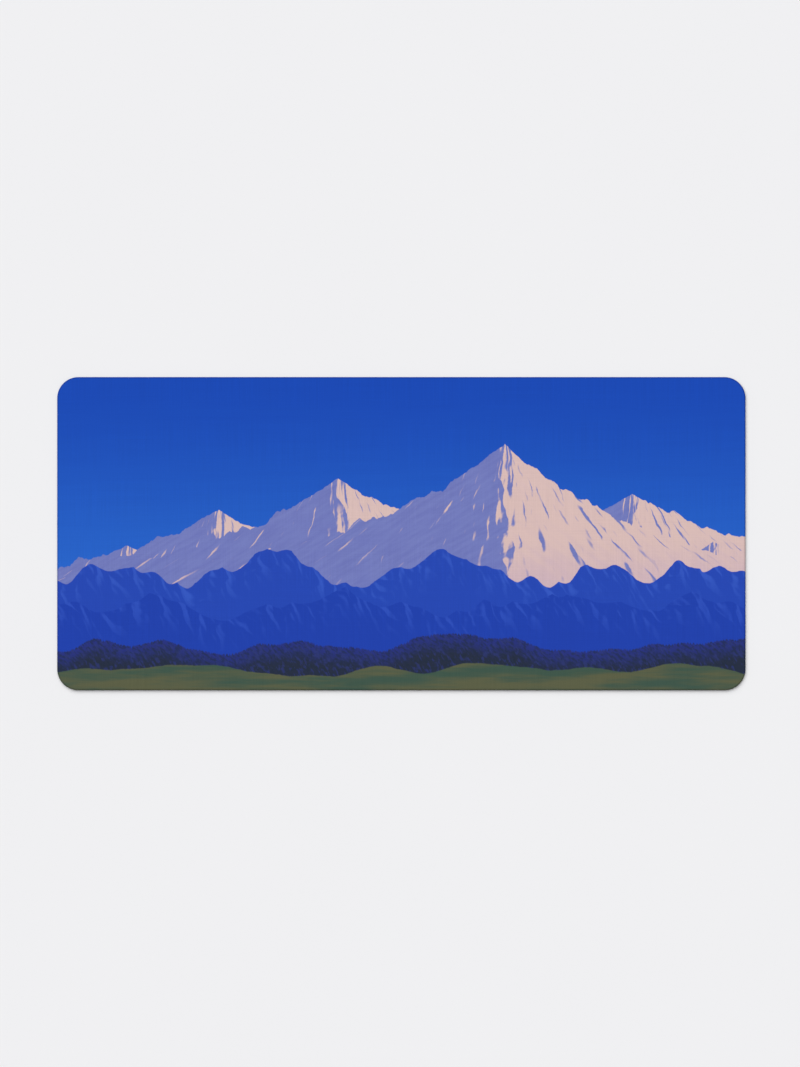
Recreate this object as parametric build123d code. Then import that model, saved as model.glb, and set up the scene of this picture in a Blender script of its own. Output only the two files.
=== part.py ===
from build123d import *

import os

# Desk mat. A printed cloth is glued over a sheet of rubber foam that has a dense grip sole
# beneath, and the laminate is cut out with a die as one rounded rectangle. The die pinches the
# rim, so the top rolls down a little at the cut, and each layer follows the one below it.
#
# Millimetres, +Z up, X along the mat's long side, +Y away from the person at the desk.
# The origin is on the desk, under the middle of the mat.

# The cut outline, in plan.
MAT_WIDTH = 800.0
MAT_DEPTH = 364.0
CORNER_RADIUS = 24.5

# The layers, from the desk up. They add up to a mat 4 mm thick.
SOLE_THICKNESS = 0.6
FOAM_THICKNESS = 2.75
FILM_THICKNESS = 0.15
CLOTH_THICKNESS = 0.5

# The rolled rim: how far in from the cut the top starts to fall, and the radius of that curve on
# the face of the cloth. The layers beneath it turn about the same centre.
ROLL_WIDTH = 1.6
ROLL_RADIUS = 2.6

FOAM_BOTTOM = SOLE_THICKNESS
FILM_BOTTOM = FOAM_BOTTOM + FOAM_THICKNESS
CLOTH_BOTTOM = FILM_BOTTOM + FILM_THICKNESS
MAT_TOP = CLOTH_BOTTOM + CLOTH_THICKNESS


def outline_block(top, spare=0.0):
    """A block from the desk up to a height, with the mat's outline grown outwards by spare."""
    outline = RectangleRounded(
        MAT_WIDTH + 2 * spare, MAT_DEPTH + 2 * spare, CORNER_RADIUS + spare
    )
    return extrude(outline, amount=top)


def below_layer_face(top):
    """All of the mat that lies under a layer's upper face, given the height of its flat middle.

    That face is the top of a larger block with a rounded edge, cut back to the outline, so the
    curve leaves the flat smoothly and ends at the cut with its slope."""
    radius = ROLL_RADIUS - (MAT_TOP - top)
    block = outline_block(top, spare=radius - ROLL_WIDTH)
    top_edges = block.faces().sort_by(Axis.Z)[-1].edges()
    return fillet(top_edges, radius) & outline_block(top)


# The dense rubber skin that lies on the desk.
grip_sole = outline_block(SOLE_THICKNESS)

# The closed-cell rubber foam that makes up most of the thickness.
foam_core = below_layer_face(FILM_BOTTOM) - grip_sole

# The hot-melt film that holds the cloth to the foam.
bond_film = below_layer_face(CLOTH_BOTTOM) - below_layer_face(FILM_BOTTOM)

# The polyester cloth, with the picture dyed into its face.
printed_cloth = below_layer_face(MAT_TOP) - below_layer_face(CLOTH_BOTTOM)

os.makedirs("parts", exist_ok=True)
export_step(grip_sole, "parts/grip_sole.step")
export_step(foam_core, "parts/foam_core.step")
export_step(bond_film, "parts/bond_film.step")
export_step(printed_cloth, "parts/printed_cloth.step")
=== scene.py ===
import math

import bmesh
import bpy
import numpy as np
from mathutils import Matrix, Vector


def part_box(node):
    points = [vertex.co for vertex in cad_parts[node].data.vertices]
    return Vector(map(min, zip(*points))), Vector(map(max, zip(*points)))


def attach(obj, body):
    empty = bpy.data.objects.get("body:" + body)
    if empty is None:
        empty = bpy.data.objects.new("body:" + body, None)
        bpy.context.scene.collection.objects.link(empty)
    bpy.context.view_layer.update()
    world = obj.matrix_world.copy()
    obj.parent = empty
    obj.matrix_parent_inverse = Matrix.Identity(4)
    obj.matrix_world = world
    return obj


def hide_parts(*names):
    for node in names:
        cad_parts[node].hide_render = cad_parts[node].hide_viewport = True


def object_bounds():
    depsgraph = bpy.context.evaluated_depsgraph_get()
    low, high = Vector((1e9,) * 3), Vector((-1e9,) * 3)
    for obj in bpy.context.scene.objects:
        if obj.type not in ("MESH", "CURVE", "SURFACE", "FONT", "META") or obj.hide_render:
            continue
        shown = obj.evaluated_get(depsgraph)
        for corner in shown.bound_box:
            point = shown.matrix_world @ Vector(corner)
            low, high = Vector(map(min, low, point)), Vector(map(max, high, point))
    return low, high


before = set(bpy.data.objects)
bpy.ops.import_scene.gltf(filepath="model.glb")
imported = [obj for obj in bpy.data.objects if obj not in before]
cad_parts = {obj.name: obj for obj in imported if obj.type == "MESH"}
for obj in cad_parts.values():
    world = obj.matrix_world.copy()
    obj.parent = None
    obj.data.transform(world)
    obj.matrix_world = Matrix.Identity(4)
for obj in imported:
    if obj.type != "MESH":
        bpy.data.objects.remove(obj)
cad_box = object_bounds()


# --- Grip sole --------------------------------------------------------------------------------
# The bottom of the mat is a skin of dense black rubber that lies on the desk. It is moulded with
# a shallow tread of small diamonds, so that the mat doesn't slide, and it is cut out with a die
# together with the layers glued on top of it.

half_width = cad_box[1].x
half_depth = cad_box[1].y
corner_radius = 0.0245
inner_width = half_width - corner_radius
inner_depth = half_depth - corner_radius


def outline_stations(long_steps, short_steps, corner_steps):
    """Stations once round the mat, anticlockwise from the front right corner. Each is a point on
    the inner rectangle, whose corners are the centres of the rounded corners, with the direction
    straight out from it. The cut lies at the inner point plus the corner radius that way."""
    turn_signs = np.array([(1, -1), (1, 1), (-1, 1), (-1, -1), (1, -1)])
    corners = turn_signs * (inner_width, inner_depth)
    inner, turns = [], []
    for side, steps in enumerate((short_steps, long_steps, short_steps, long_steps)):
        inner.append(np.linspace(corners[side], corners[side + 1], steps, endpoint=False))
        turns.append(np.full(steps, float(side)))
        inner.append(np.repeat(corners[side + 1][None, :], corner_steps, axis=0))
        turns.append(side + np.linspace(0, 1, corner_steps, endpoint=False))
    angle = 0.5 * np.pi * np.concatenate(turns)
    return np.concatenate(inner), np.stack([np.cos(angle), np.sin(angle)], axis=1)


def rim_skin(stations, insets, heights):
    """A profile carried round the mat. At each station the profile's points lie inset from the
    cut, along the station's direction, at their heights: a grid of points, station by inset."""
    inner, outward = stations
    reach = corner_radius - np.asarray(insets)
    grid = np.empty((len(inner), len(reach), 3))
    grid[:, :, :2] = inner[:, None, :] + outward[:, None, :] * reach[None, :, None]
    grid[:, :, 2] = np.asarray(heights)[None, :]
    return grid


def middle_skin(long_steps, short_steps, height):
    """The inner rectangle at one height, as a grid whose edges meet the rim's stations."""
    across = np.linspace(-inner_width, inner_width, long_steps + 1)
    along = np.linspace(-inner_depth, inner_depth, short_steps + 1)
    grid = np.empty((len(across), len(along), 3))
    grid[:, :, 0], grid[:, :, 1] = np.meshgrid(across, along, indexing="ij")
    grid[:, :, 2] = height
    return grid


def grid_faces(rows, columns, first, closed):
    """Four-cornered faces over a grid of points numbered row by row from first. Closed joins the
    last row to the first."""
    numbers = first + np.arange(rows * columns).reshape(rows, columns)
    if closed:
        numbers = np.concatenate([numbers, numbers[:1]])
    near, far = numbers[:-1], numbers[1:]
    return np.stack([near[:, :-1], far[:, :-1], far[:, 1:], near[:, 1:]], axis=2).reshape(-1, 4)


def make_layer(name, rims, middles, crease, flat_faces=()):
    """One closed layer from its grids of points: rims run all the way round, middles don't. Points
    that two grids share are merged, and the faces are turned outwards. Edges that turn by more
    than the crease angle, in degrees, are sharp."""
    points, faces, first = [], [], 0
    for grid, closed in [(rim, True) for rim in rims] + [(middle, False) for middle in middles]:
        rows, columns = grid.shape[:2]
        points.append(grid.reshape(-1, 3))
        faces += grid_faces(rows, columns, first, closed).tolist()
        first += rows * columns
    mesh = bpy.data.meshes.new(name)
    mesh.from_pydata(np.concatenate(points).tolist(), [], faces + list(flat_faces))
    shape = bmesh.new()
    shape.from_mesh(mesh)
    bmesh.ops.remove_doubles(shape, verts=shape.verts, dist=2e-6)
    bmesh.ops.recalc_face_normals(shape, faces=shape.faces)
    shape.to_mesh(mesh)
    shape.free()
    mesh.shade_smooth()
    mesh.set_sharp_from_angle(angle=math.radians(crease))
    layer = bpy.data.objects.new(name, mesh)
    bpy.context.collection.objects.link(layer)
    return layer


sole_bottom, sole_top = (corner.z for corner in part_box("grip_sole"))
sole_long_steps = 400
sole_short_steps = 170
corner_steps = 32
sole_rings = 12
tread_depth = 0.00035


def tread(grid):
    """Presses grooves with a V section up into the underside, along both diagonals of a square
    lattice at every fourth step, and so leaves a raised diamond between them. The rounded corners
    stay plain."""
    across = grid[:, :, 0] / (2 * inner_width) * sole_long_steps
    along = grid[:, :, 1] / (2 * inner_depth) * sole_short_steps
    falling = np.abs((across + along + 2) % 4 - 2)
    rising = np.abs((across - along + 2) % 4 - 2)
    groove = np.clip(1 - np.minimum(falling, rising), 0, 1)
    hair = 1e-6
    in_corner = np.abs(grid[:, :, 0]) > inner_width - hair
    in_corner &= np.abs(grid[:, :, 1]) > inner_depth - hair
    pressed = grid.copy()
    pressed[:, :, 2] += tread_depth * np.where(in_corner, 0, groove)
    return pressed


sole_stations = outline_stations(sole_long_steps, sole_short_steps, corner_steps)
sole_insets = np.linspace(corner_radius, 0, sole_rings + 1)
under_rim = tread(rim_skin(sole_stations, sole_insets, np.full(sole_rings + 1, sole_bottom)))
under_middle = tread(middle_skin(sole_long_steps, sole_short_steps, sole_bottom))
sole_middle = 0.5 * (sole_bottom + sole_top)
cut_side = rim_skin(sole_stations, [0, 0, 0], [sole_bottom, sole_middle, sole_top])
cut_side[:, 0] = under_rim[:, -1]
cut_side_first = under_rim.shape[0] * under_rim.shape[1]
top_ring = cut_side_first + 2 + 3 * np.arange(len(cut_side))
groove_crease = 4
sole = make_layer(
    "tread_sole", [under_rim, cut_side], [under_middle], groove_crease, [top_ring.tolist()]
)


def screen_colour(red, green, blue):
    """A colour given as it shows on a screen, 0 to 255, turned into the light that a shader
    takes: each part is put through the inverse of the screen's own curve."""
    part = np.array([red, green, blue]) / 255
    light = np.where(part > 0.04045, ((part + 0.055) / 1.055) ** 2.4, part / 12.92)
    return (*light.tolist(), 1.0)


class Field:
    """A number, colour or direction at every point of a surface: one output of a shader node.
    Arithmetic on fields places the Math node that works out the answer."""

    def __init__(self, socket):
        self.socket = socket

    def math(self, operation, *others):
        tree = self.socket.id_data
        return place(tree, "ShaderNodeMath", [self, *others], operation=operation)

    def __add__(self, other):
        return self.math("ADD", other)

    def __sub__(self, other):
        return self.math("SUBTRACT", other)

    def __mul__(self, other):
        return self.math("MULTIPLY", other)

    def __truediv__(self, other):
        return self.math("DIVIDE", other)

    def __rsub__(self, other):
        return (self * -1) + other

    __radd__ = __add__

    def rise(self, low, high):
        """0 below low and 1 above high, with a smooth S between them."""
        settings = {"interpolation_type": "SMOOTHSTEP"}
        inputs = {"Value": self, "From Min": low, "From Max": high}
        return place(self.socket.id_data, "ShaderNodeMapRange", inputs, **settings)

    def blend(self, below, above):
        """The colour below where this field is 0, and the colour above where it is 1."""
        inputs = {0: self, 6: below, 7: above}
        return place(self.socket.id_data, "ShaderNodeMix", inputs, 2, data_type="RGBA")


def place(tree, kind, inputs=(), output=0, **settings):
    """Places one shader node. Its inputs are listed in order, or by name or number, and each is a
    plain value to set or a field to link. Gives one of its outputs as a field."""
    node = tree.nodes.new(kind)
    for setting, value in settings.items():
        setattr(node, setting, value)
    for slot, value in inputs.items() if isinstance(inputs, dict) else enumerate(inputs):
        if isinstance(value, Field):
            tree.links.new(value.socket, node.inputs[slot])
        else:
            node.inputs[slot].default_value = value
    return Field(node.outputs[output])


def noise(tree, position, size, detail=2.0):
    """Smooth noise from 0 to 1, with blotches of about this size and finer ones over them."""
    inputs = {"Vector": position, "Scale": 1 / size, "Detail": detail}
    return place(tree, "ShaderNodeTexNoise", inputs)


def start_group(name, takes, gives):
    """A new shader node group. takes names its inputs and gives its outputs, each with its kind of
    socket. Returns the tree, its inputs as fields by name, and the node that its outputs go to."""
    tree = bpy.data.node_groups.new(name, "ShaderNodeTree")
    for label, kind in takes.items():
        tree.interface.new_socket(label, in_out="INPUT", socket_type="NodeSocket" + kind)
    for label, kind in gives.items():
        tree.interface.new_socket(label, in_out="OUTPUT", socket_type="NodeSocket" + kind)
    entry = tree.nodes.new("NodeGroupInput")
    given = {label: Field(entry.outputs[label]) for label in takes}
    return tree, given, tree.nodes.new("NodeGroupOutput")


def send(tree, node, values):
    """Links or sets the named inputs of a node, such as a group's output or a shader."""
    for slot, value in values.items():
        if isinstance(value, Field):
            tree.links.new(value.socket, node.inputs[slot])
        else:
            node.inputs[slot].default_value = value


def start_material(layer, name):
    """A new material on a layer. Returns its tree, its shader, and the position on the mat."""
    material = bpy.data.materials.new(name)
    material.use_nodes = True
    layer.data.materials.append(material)
    tree = material.node_tree
    position = place(tree, "ShaderNodeTexCoord", output="Object")
    return tree, tree.nodes["Principled BSDF"], position


# The rubber's own surface, on the sole and on the foam: pores of a given size, painted darker
# than their walls as painted shade, and a slow drift from grey to black over the sheet.
rubber_grain_and_pore_shade, given, result = start_group(
    "rubber_grain_and_pore_shade",
    {"Position": "Vector", "Pore Size": "Float", "Dark": "Color", "Pale": "Color"},
    {"Color": "Color", "Roughness": "Float", "Height": "Float"},
)
pore_scale = given["Pore Size"].math("POWER", -1.0)
pores = place(
    rubber_grain_and_pore_shade,
    "ShaderNodeTexVoronoi",
    {"Vector": given["Position"], "Scale": pore_scale},
)
grit = place(
    rubber_grain_and_pore_shade,
    "ShaderNodeTexNoise",
    {"Vector": given["Position"], "Scale": pore_scale * 0.6, "Detail": 3.0},
)
drift_size = 0.04
drift = noise(rubber_grain_and_pore_shade, given["Position"], drift_size)
# Painted shade: the pores are painted darker than the cell walls between them.
cell_wall = pores.rise(0.15, 0.55)
send(
    rubber_grain_and_pore_shade,
    result,
    {
        "Color": (drift * 0.5 + grit * 0.3 + cell_wall * 0.3).rise(0.4, 0.75).blend(
            given["Dark"], given["Pale"]
        ),
        "Roughness": 0.7 + grit * 0.2,
        "Height": cell_wall * 0.6 + grit * 0.4,
    },
)


def paint_rubber(layer, name, pore_size, pore_depth, dark, pale):
    """Finishes a layer in bare rubber with pores of this size and depth."""
    tree, shader, position = start_material(layer, name)
    grain_and_pore_shade = place(
        tree,
        "ShaderNodeGroup",
        {"Position": position, "Pore Size": pore_size, "Dark": dark, "Pale": pale},
        "Color",
        node_tree=rubber_grain_and_pore_shade,
    )
    outputs = grain_and_pore_shade.socket.node.outputs
    bump = place(
        tree,
        "ShaderNodeBump",
        {"Height": Field(outputs["Height"]), "Distance": pore_depth, "Strength": 0.6},
    )
    send(
        tree,
        shader,
        {
            "Base Color": grain_and_pore_shade,
            "Roughness": Field(outputs["Roughness"]),
            "Normal": bump,
            "Specular IOR Level": 0.35,
        },
    )


skin_pore = 0.0004
skin_pore_depth = 0.00004
sole_black = screen_colour(38, 38, 41)
# The paler grey shows where the rubber's tone drifts paler, and on the pore walls, painted lighter
# than the pores.
sole_grey_and_lit_walls = screen_colour(50, 50, 54)
paint_rubber(sole, "moulded_rubber", skin_pore, skin_pore_depth, sole_black, sole_grey_and_lit_walls)
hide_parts("grip_sole")
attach(sole, "root")


# --- Foam core --------------------------------------------------------------------------------
# Most of the thickness is a sheet of closed-cell black rubber foam. The die squeezes it as it
# cuts, so its side springs back a little hollow, and its top is pinched down at the rim.

roll_width = 0.0016
roll_radius = 0.0026
roll_steps = 8
flat_steps = 5
rim_crease = 24
mat_top = cad_box[1].z
long_steps = 120
short_steps = 50
stations = outline_stations(long_steps, short_steps, corner_steps)


def rolled_face(flat_height):
    """The upper face of a layer from the inner rectangle to the cut, as insets and heights: flat,
    then an arc whose centre is the same for every layer, so its radius is the roll radius less
    the depth of this face below the top of the mat."""
    radius = roll_radius - (mat_top - flat_height)
    arc_insets = np.linspace(roll_width, 0, roll_steps + 1)
    arc_drop = radius - np.sqrt(radius**2 - (roll_width - arc_insets) ** 2)
    flat_insets = np.linspace(corner_radius, roll_width, flat_steps + 1)[:-1]
    insets = np.concatenate([flat_insets, arc_insets])
    return insets, np.concatenate([np.full(flat_steps, flat_height), flat_height - arc_drop])


def laminate(name, lower, side, upper):
    """A layer between two faces, each given as insets and heights from the inner rectangle to the
    cut, with the side's insets and heights between them, from the bottom up."""
    insets = np.concatenate([lower[0], side[0], upper[0][::-1]])
    heights = np.concatenate([lower[1], side[1], upper[1][::-1]])
    rim = rim_skin(stations, insets, heights)
    middles = [middle_skin(long_steps, short_steps, face[1][0]) for face in (lower, upper)]
    return make_layer(name, [rim], middles, rim_crease)


foam_bottom, foam_top = (corner.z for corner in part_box("foam_core"))
foam_lower = (np.array([corner_radius, 0]), np.full(2, foam_bottom))
foam_upper = rolled_face(foam_top)
cut_hollow = 0.00015
side_steps = 8
climb = np.linspace(0, 1, side_steps + 1)[1:-1]
foam_side = (
    cut_hollow * np.sin(np.pi * climb),
    foam_bottom + climb * (foam_upper[1][-1] - foam_bottom),
)
foam = laminate("foam_slab", foam_lower, foam_side, foam_upper)
cell_size = 0.00026
cell_depth = 0.00009
foam_black = screen_colour(32, 32, 34)
cell_grey = screen_colour(62, 62, 66)
paint_rubber(foam, "rubber_foam", cell_size, cell_depth, foam_black, cell_grey)
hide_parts("foam_core")
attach(foam, "root")


# --- Bond film --------------------------------------------------------------------------------
# A hot-melt film, thinner than a fingernail, glues the cloth to the foam. Only its cut edge
# shows, as a pale grey line between them.

film_bottom = foam_top
film_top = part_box("bond_film")[1].z
film_lower = rolled_face(film_bottom)
film_upper = rolled_face(film_top)
film = laminate("glue_film", film_lower, (np.array([]), np.array([])), film_upper)

tree, shader, position = start_material(film, "melted_glue")
cloud_size = 0.0008
film_grey = screen_colour(92, 94, 100)
film_pale = screen_colour(128, 130, 136)
cloudy = noise(tree, position, cloud_size, 3.0).rise(0.3, 0.7)
send(
    tree,
    shader,
    {
        "Base Color": cloudy.blend(film_grey, film_pale),
        "Roughness": 0.35 + cloudy * 0.2,
    },
)
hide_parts("bond_film")
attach(film, "root")


# --- Printed cloth ----------------------------------------------------------------------------
# The face is a smooth polyester cloth, fused to the film. A picture of snowy mountains is dyed
# into it before the mat is cut. The cloth rolls over with the foam at the rim, and its colour is
# painted darker there, as painted shade over the roll.

cloth_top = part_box("printed_cloth")[1].z
cloth_lower = rolled_face(film_top)
cloth_upper = rolled_face(cloth_top)
cloth = laminate("cloth_face", cloth_lower, (np.array([]), np.array([])), cloth_upper)
millimetre = 0.001


def line_noise(tree, along, size, seed, detail=2.0):
    """Smooth noise from 0 to 1 along one line, with swells of about this size. The seed picks
    another line."""
    inputs = {"W": along / size + seed, "Scale": 1.0, "Detail": detail}
    return place(tree, "ShaderNodeTexNoise", inputs, noise_dimensions="1D")


def crests(swells):
    """Turns smooth noise from 0 to 1 into pointed crests over round valleys, 1 on a crest."""
    return 1 - ((swells - 0.5) * 2).math("ABSOLUTE")


# The drag of a dry brush: noise from 0 to 1, drawn out into streaks of a given length and width
# that run along an angle.
brush_drag, given, result = start_group(
    "brush_drag",
    {
        "X": "Float",
        "Y": "Float",
        "Angle": "Float",
        "Length": "Float",
        "Width": "Float",
        "Seed": "Float",
    },
    {"Drag": "Float"},
)
turn_x = given["Angle"].math("COSINE")
turn_y = given["Angle"].math("SINE")
along = (given["X"] * turn_x + given["Y"] * turn_y) / given["Length"]
across = (given["Y"] * turn_x - given["X"] * turn_y) / given["Width"]
spot = place(brush_drag, "ShaderNodeCombineXYZ", [along, across, given["Seed"]])
send(brush_drag, result, {"Drag": noise(brush_drag, spot, 1.0, 3.0)})

# Spurs that run down a slope, as light on them: above 0 on their sides that face the sun on the
# right, and below 0 on the others. It is the fall of a row of crests from each point to the next.
spur_light, given, result = start_group(
    "spur_light",
    {"Across": "Float", "Down": "Float", "Seed": "Float"},
    {"Light": "Float"},
)
next_point = 0.14
spur_heights = []
for shift in (0.0, next_point):
    spot = place(
        spur_light,
        "ShaderNodeCombineXYZ",
        [given["Across"] + shift, given["Down"], given["Seed"]],
    )
    spur_heights.append(crests(noise(spur_light, spot, 1.0, 2.0)))
send(spur_light, result, {"Light": spur_heights[0] - spur_heights[1]})

# One snow peak. Its outline falls away on each side of the summit, steeply and then less so, with
# shoulders and notches. A wandering crease comes down from the summit, between a shaded left face
# and a sunlit right face, and spurs fan out over both.
snow_peak, given, result = start_group(
    "snow_peak",
    {
        "X": "Float",
        "Y": "Float",
        "Summit X": "Float",
        "Summit Y": "Float",
        "Left Fall": "Float",
        "Right Fall": "Float",
        "Seed": "Float",
    },
    {"Cover": "Float", "Sunlit": "Float"},
)
from_summit = given["X"] - given["Summit X"]
away = from_summit.math("ABSOLUTE")
fall = given["Left Fall"] + from_summit.rise(-1, 1) * (given["Right Fall"] - given["Left Fall"])
easing = 320.0
shoulder_size = 30.0
most_shoulder = 26.0
notch_size = 6.0
notch_depth = 2.4
shoulder_swing = (away * 0.5).math("MINIMUM", most_shoulder)
shoulder = line_noise(snow_peak, given["X"], shoulder_size, given["Seed"], 3.0) - 0.5
shoulder = shoulder * shoulder_swing
notch = (line_noise(snow_peak, given["X"], notch_size, given["Seed"] + 50) - 0.5) * notch_depth
ridge = given["Summit Y"] - fall * away / (1 + away / easing) + shoulder + notch
under = (given["Summit Y"] - given["Y"]).math("MAXIMUM", 0.0)
crease_size = 30.0
most_crease = 64.0
crease_softness = 14
fan_start = 45
fan_spread = 6
spur_length = 60
spur_strength = 6.5
crease_swing = (under * 1.2).math("MINIMUM", most_crease)
skew = under + from_summit * 0.6
crease = line_noise(snow_peak, skew, crease_size, given["Seed"] + 100, 3.0) - 0.5
crease = crease * crease_swing
side = (from_summit - crease) / crease_softness
side = side.math("MAXIMUM", -1.0).math("MINIMUM", 1.0)
fan = from_summit / (under + fan_start) * fan_spread
spurs = place(
    snow_peak,
    "ShaderNodeGroup",
    {"Across": fan, "Down": under / spur_length, "Seed": given["Seed"]},
    "Light",
    node_tree=spur_light,
)
send(
    snow_peak,
    result,
    {
        "Cover": (ridge - given["Y"]).rise(-0.5, 0.5),
        "Sunlit": (side + spurs * spur_strength).rise(-0.2, 0.5),
    },
)

# The picture, worked out in millimetres from the middle of the mat. Every edge wanders a little,
# as if a brush had drawn it.
picture, given, result = start_group("mountain_picture", {"Position": "Vector"}, {"Color": "Color"})
on_cloth = place(
    picture,
    "ShaderNodeVectorMath",
    {0: given["Position"], "Scale": 1 / millimetre},
    operation="SCALE",
)
x, y = (place(picture, "ShaderNodeSeparateXYZ", [on_cloth], axis) for axis in (0, 1))
wide_size = 14.0
fine_size = 4.0
wander_wide = noise(picture, on_cloth, wide_size, 3.0) - 0.5
wander_fine = noise(picture, on_cloth, fine_size, 2.0) - 0.5
hand_x = x + wander_wide * 4 + wander_fine
hand_y = y + wander_wide * 3 - wander_fine


def drag(degrees, length, width, seed):
    """Brush drag in the picture, for breaking up a patch of colour."""
    values = {
        "X": x,
        "Y": y,
        "Angle": math.radians(degrees),
        "Length": length,
        "Width": width,
        "Seed": seed,
    }
    return place(picture, "ShaderNodeGroup", values, "Drag", node_tree=brush_drag)


def below(line, edge=0.5):
    """1 under a line of heights and 0 above it, with an edge this soft."""
    return (line - hand_y).rise(-edge, edge)


# The sky: deep blue overhead, paler towards the horizon, brushed from side to side.
sky_streaks = drag(2, 160.0, 9.0, 1.0)
horizon_blue = screen_colour(42, 107, 208)
zenith_blue = screen_colour(23, 72, 180)
sky_rise = (y + (sky_streaks - 0.5) * 30).rise(-150, 190)
land = sky_rise.blend(horizon_blue, zenith_blue)

# The snow range, from the back to the front: low sun from the right warms one side of each peak,
# and the other is in violet shade. Low down, near the valley, the snow is colder.
cold = (y + wander_wide * 30).rise(-70, 10)
warm_snow = (drag(-38, 46.0, 7.0, 2.0) * 0.6 + cold * 0.5).rise(0.1, 0.9)
sunlit_snow = warm_snow.blend(screen_colour(203, 176, 186), screen_colour(217, 188, 183))
shade_drag = drag(30, 30.0, 5.0, 3.0).rise(0.2, 0.8)
shaded_snow = shade_drag.blend(screen_colour(109, 117, 183), screen_colour(118, 127, 190))
# Each peak is its summit, its fall on the left and on the right, and a seed.
peaks = [
    ((-318, -14), 0.42, 0.50, 210.0),
    ((268, 46), 0.62, 0.56, 320.0),
    ((-212, 28), 0.62, 0.62, 430.0),
    ((362, -10), 0.58, 0.40, 540.0),
    ((-74, 64), 0.72, 0.62, 650.0),
    ((120, 104), 0.84, 0.92, 760.0),
]
for summit, left_fall, right_fall, seed in peaks:
    values = {
        "X": hand_x,
        "Y": hand_y,
        "Summit X": summit[0],
        "Summit Y": summit[1],
        "Left Fall": left_fall,
        "Right Fall": right_fall,
        "Seed": seed,
    }
    cover = place(picture, "ShaderNodeGroup", values, "Cover", node_tree=snow_peak)
    sunlit = Field(cover.socket.node.outputs["Sunlit"])
    land = cover.blend(land, sunlit.blend(shaded_snow, sunlit_snow))

# Two rows of blue foothills, the farther one paler. Light brushes the spurs under their crests.
# Each row is its middle height, its swing, the size of its hills, its colours and a seed.
foothills = [
    (-44, 84, 104.0, screen_colour(37, 71, 178), screen_colour(55, 91, 196), 15.0),
    (-84, 76, 128.0, screen_colour(31, 64, 171), screen_colour(48, 82, 189), 28.0),
]
rib_width = 26
rib_length = 50
for middle, swing, size, hill_blue, lit_blue, seed in foothills:
    swells = line_noise(picture, hand_x, size, seed) - 0.5
    knolls = crests(line_noise(picture, hand_x, size * 0.5, seed + 7, 1.0)) - 0.7
    crest_line = (swells + knolls * 0.2) * swing + middle
    under_crest = crest_line - hand_y
    ribs = (hand_x - under_crest * 0.5) / rib_width
    spurs = place(
        picture,
        "ShaderNodeGroup",
        {"Across": ribs, "Down": under_crest / rib_length, "Seed": seed},
        "Light",
        node_tree=spur_light,
    )
    lit = (spurs * 5).rise(0.0, 0.8) * (1 - under_crest.rise(2, 44))
    land = below(crest_line).blend(land, (lit * 0.8).blend(hill_blue, lit_blue))

# A belt of dark forest at their foot, violet-blue where its top catches the sky, and dabbed with
# deep green. Its top swings about a line that is dropped below the middle of the mat.
tree_width = 3.5
tree_height = 4
forest_drop = 132
forest_swing = 56
tree_tips = crests(line_noise(picture, x, tree_width, 71.0, 1.0)) * tree_height
forest_swells = line_noise(picture, hand_x, 150.0, 42.0) - 0.5
forest_line = forest_swells * forest_swing - forest_drop + tree_tips
down_forest = (forest_line - hand_y + wander_wide * 12).rise(0, 26)
forest = down_forest.blend(screen_colour(40, 51, 126), screen_colour(38, 46, 66))
# Each kind of dab is its slant, the least drag that shows it, its colour and a seed.
dabs = [
    (-38, 0.44, screen_colour(33, 44, 62), 7.0),
    (-60, 0.50, screen_colour(47, 57, 118), 7.5),
]
for degrees, least, colour, seed in dabs:
    dab = (drag(degrees, 7.0, 3.0, seed) + wander_fine * 0.3).rise(least, least + 0.16)
    forest = (dab * 0.6).blend(forest, colour)
land = below(forest_line, 0.8).blend(land, forest)

# A meadow along the bottom, in long bands of green and dry grass, with a top like the forest's.
meadow_drop = 158
meadow_swing = 50
meadow_swells = line_noise(picture, hand_x, 190.0, 64.0) - 0.5
meadow_line = meadow_swells * meadow_swing - meadow_drop
bands = (drag(4, 120.0, 16.0, 9.0) * 0.7 + drag(-3, 60.0, 4.0, 9.5) * 0.3).rise(0.38, 0.62)
green_grass = screen_colour(62, 85, 73)
dry_grass = screen_colour(91, 94, 69)
meadow = bands.blend(green_grass, dry_grass)
land = below(meadow_line, 0.8).blend(land, meadow)
send(picture, result, {"Color": land})

# A plain weave of fine threads: each crossing shows the thread that lies on top, across or along
# by turns, as half a wave. Here and there a thread is thicker, and shows as a faint line.
tree, shader, position = start_material(cloth, "dyed_cloth")
thread_pitch = 0.00045
across, along = (place(tree, "ShaderNodeSeparateXYZ", [position], axis) for axis in (0, 1))
wave_across = (across * (math.pi / thread_pitch)).math("SINE")
wave_along = (along * (math.pi / thread_pitch)).math("SINE")
over_first = (wave_across * wave_along).rise(-0.3, 0.3)
weave = over_first * wave_across.math("ABSOLUTE") + (1 - over_first) * wave_along.math("ABSOLUTE")
slub_width = 0.0009
slubs = []
for stretch in ((0.09, slub_width, 1), (slub_width, 0.07, 1)):
    drawn_out = place(tree, "ShaderNodeVectorMath", [position, stretch], operation="DIVIDE")
    slubs.append(noise(tree, drawn_out, 1.0, 2.0))
slub = (slubs[0] - 0.5) + (slubs[1] - 0.5) * 1.5

# How far in from the cut each point lies: the corner radius less the distance outside the inner
# rectangle. Painted shade darkens the rim over the roll.
outside = place(tree, "ShaderNodeVectorMath", [position], operation="ABSOLUTE")
inner_corner = (inner_width, inner_depth, 1)
outside = place(tree, "ShaderNodeVectorMath", [outside, inner_corner], operation="SUBTRACT")
outside = place(tree, "ShaderNodeVectorMath", [outside, (0, 0, 0)], operation="MAXIMUM")
outside = place(tree, "ShaderNodeVectorMath", [outside], "Value", operation="LENGTH")
rim_edge = 0.0002
rim_end = 0.0024
painted_rim_shade = (corner_radius - outside).rise(rim_edge, rim_end)

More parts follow.
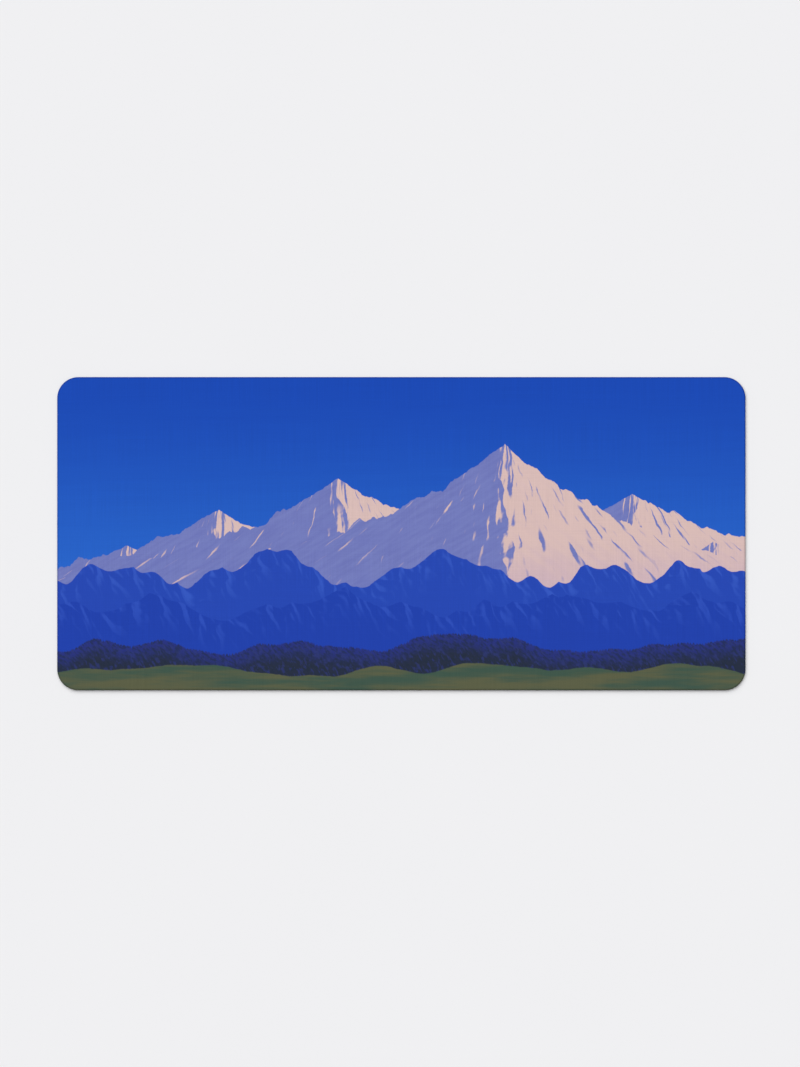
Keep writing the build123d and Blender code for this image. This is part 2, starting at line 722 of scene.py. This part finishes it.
print_colour = place(tree, "ShaderNodeGroup", {"Position": position}, "Color", node_tree=picture)
# Painted shade: at the cut the print keeps this share of its colour, rising to full over the roll.
painted_shade_at_cut = 0.66
# Painted shade: the crowns of the threads are painted lighter and the gaps between them darker. The
# slubs are the cloth's own tone.
thread_light = 0.95 + weave * 0.08 + slub * 0.12
light = (painted_shade_at_cut + painted_rim_shade * (1 - painted_shade_at_cut)) * thread_light
cloth_colour = place(
    tree, "ShaderNodeVectorMath", {0: print_colour, "Scale": light}, operation="SCALE"
)
thread_height = 0.00003
bump = place(
    tree,
    "ShaderNodeBump",
    {"Height": weave + slub, "Distance": thread_height, "Strength": 0.8},
)
send(
    tree,
    shader,
    {
        "Base Color": cloth_colour,
        "Roughness": 0.78 + weave * 0.1,
        "Normal": bump,
        "Specular IOR Level": 0.1,
        "Sheen Weight": 0.06,
        "Sheen Roughness": 0.4,
    },
)
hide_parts("printed_cloth")
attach(cloth, "root")


# --- Studio -----------------------------------------------------------------------------------
# A pale floor, a soft lamp from beyond the mat's upper left, and an even pale room around it.

floor_reach = 60.0
floor_mesh = bpy.data.meshes.new("pale_floor")
floor_mesh.from_pydata(
    [(x * floor_reach, y * floor_reach, 0) for x, y in ((-1, -1), (1, -1), (1, 1), (-1, 1))],
    [],
    [(0, 1, 2, 3)],
)
floor = bpy.data.objects.new("pale_floor", floor_mesh)
bpy.context.collection.objects.link(floor)
tree, shader, position = start_material(floor, "pale_board")
mottle_size = 0.3
board_grey = (0.865, 0.865, 0.882, 1)
board_pale = (0.877, 0.877, 0.892, 1)
board = noise(tree, position, mottle_size).blend(board_grey, board_pale)
send(tree, shader, {"Base Color": board, "Roughness": 0.9, "Specular IOR Level": 0.2})

room_light = 0.2
lamp_light = 0.8
lamp_spread = 74
light_way = Vector((0.26, -0.5, -1.0)).normalized()
lamp = bpy.data.lights.new("soft_lamp", "SUN")
lamp.energy = lamp_light * math.pi / -light_way.z
lamp.angle = math.radians(lamp_spread)
lamp_object = bpy.data.objects.new("soft_lamp", lamp)
lamp_object.rotation_euler = light_way.to_track_quat("-Z", "Y").to_euler()
bpy.context.collection.objects.link(lamp_object)

room = bpy.data.worlds.new("pale_room")
room.use_nodes = True
seen = place(room.node_tree, "ShaderNodeLightPath", output="Is Camera Ray")
pale = 0.87
strength = room_light + seen * (pale - room_light)
background = room.node_tree.nodes["Background"]
send(room.node_tree, background, {"Color": (1, 1, 1, 1), "Strength": strength})
bpy.context.scene.world = room
bpy.context.scene.view_settings.view_transform = "Standard"

# The camera looks straight down, a hair off the middle of the mat, from as high as it takes for
# its view to span this height on the mat's face.
view_height = 1.24
camera_x = -0.0016
camera_y = 0.0002
camera = bpy.data.cameras.new("above")
camera.lens = 100
camera.sensor_width = 36
camera_object = bpy.data.objects.new("above", camera)
half_view = math.atan(0.5 * camera.sensor_width / camera.lens)
camera_rise = 0.5 * view_height / math.tan(half_view)
camera_object.location = (camera_x, camera_y, mat_top + camera_rise)
bpy.context.collection.objects.link(camera_object)
bpy.context.scene.camera = camera_object
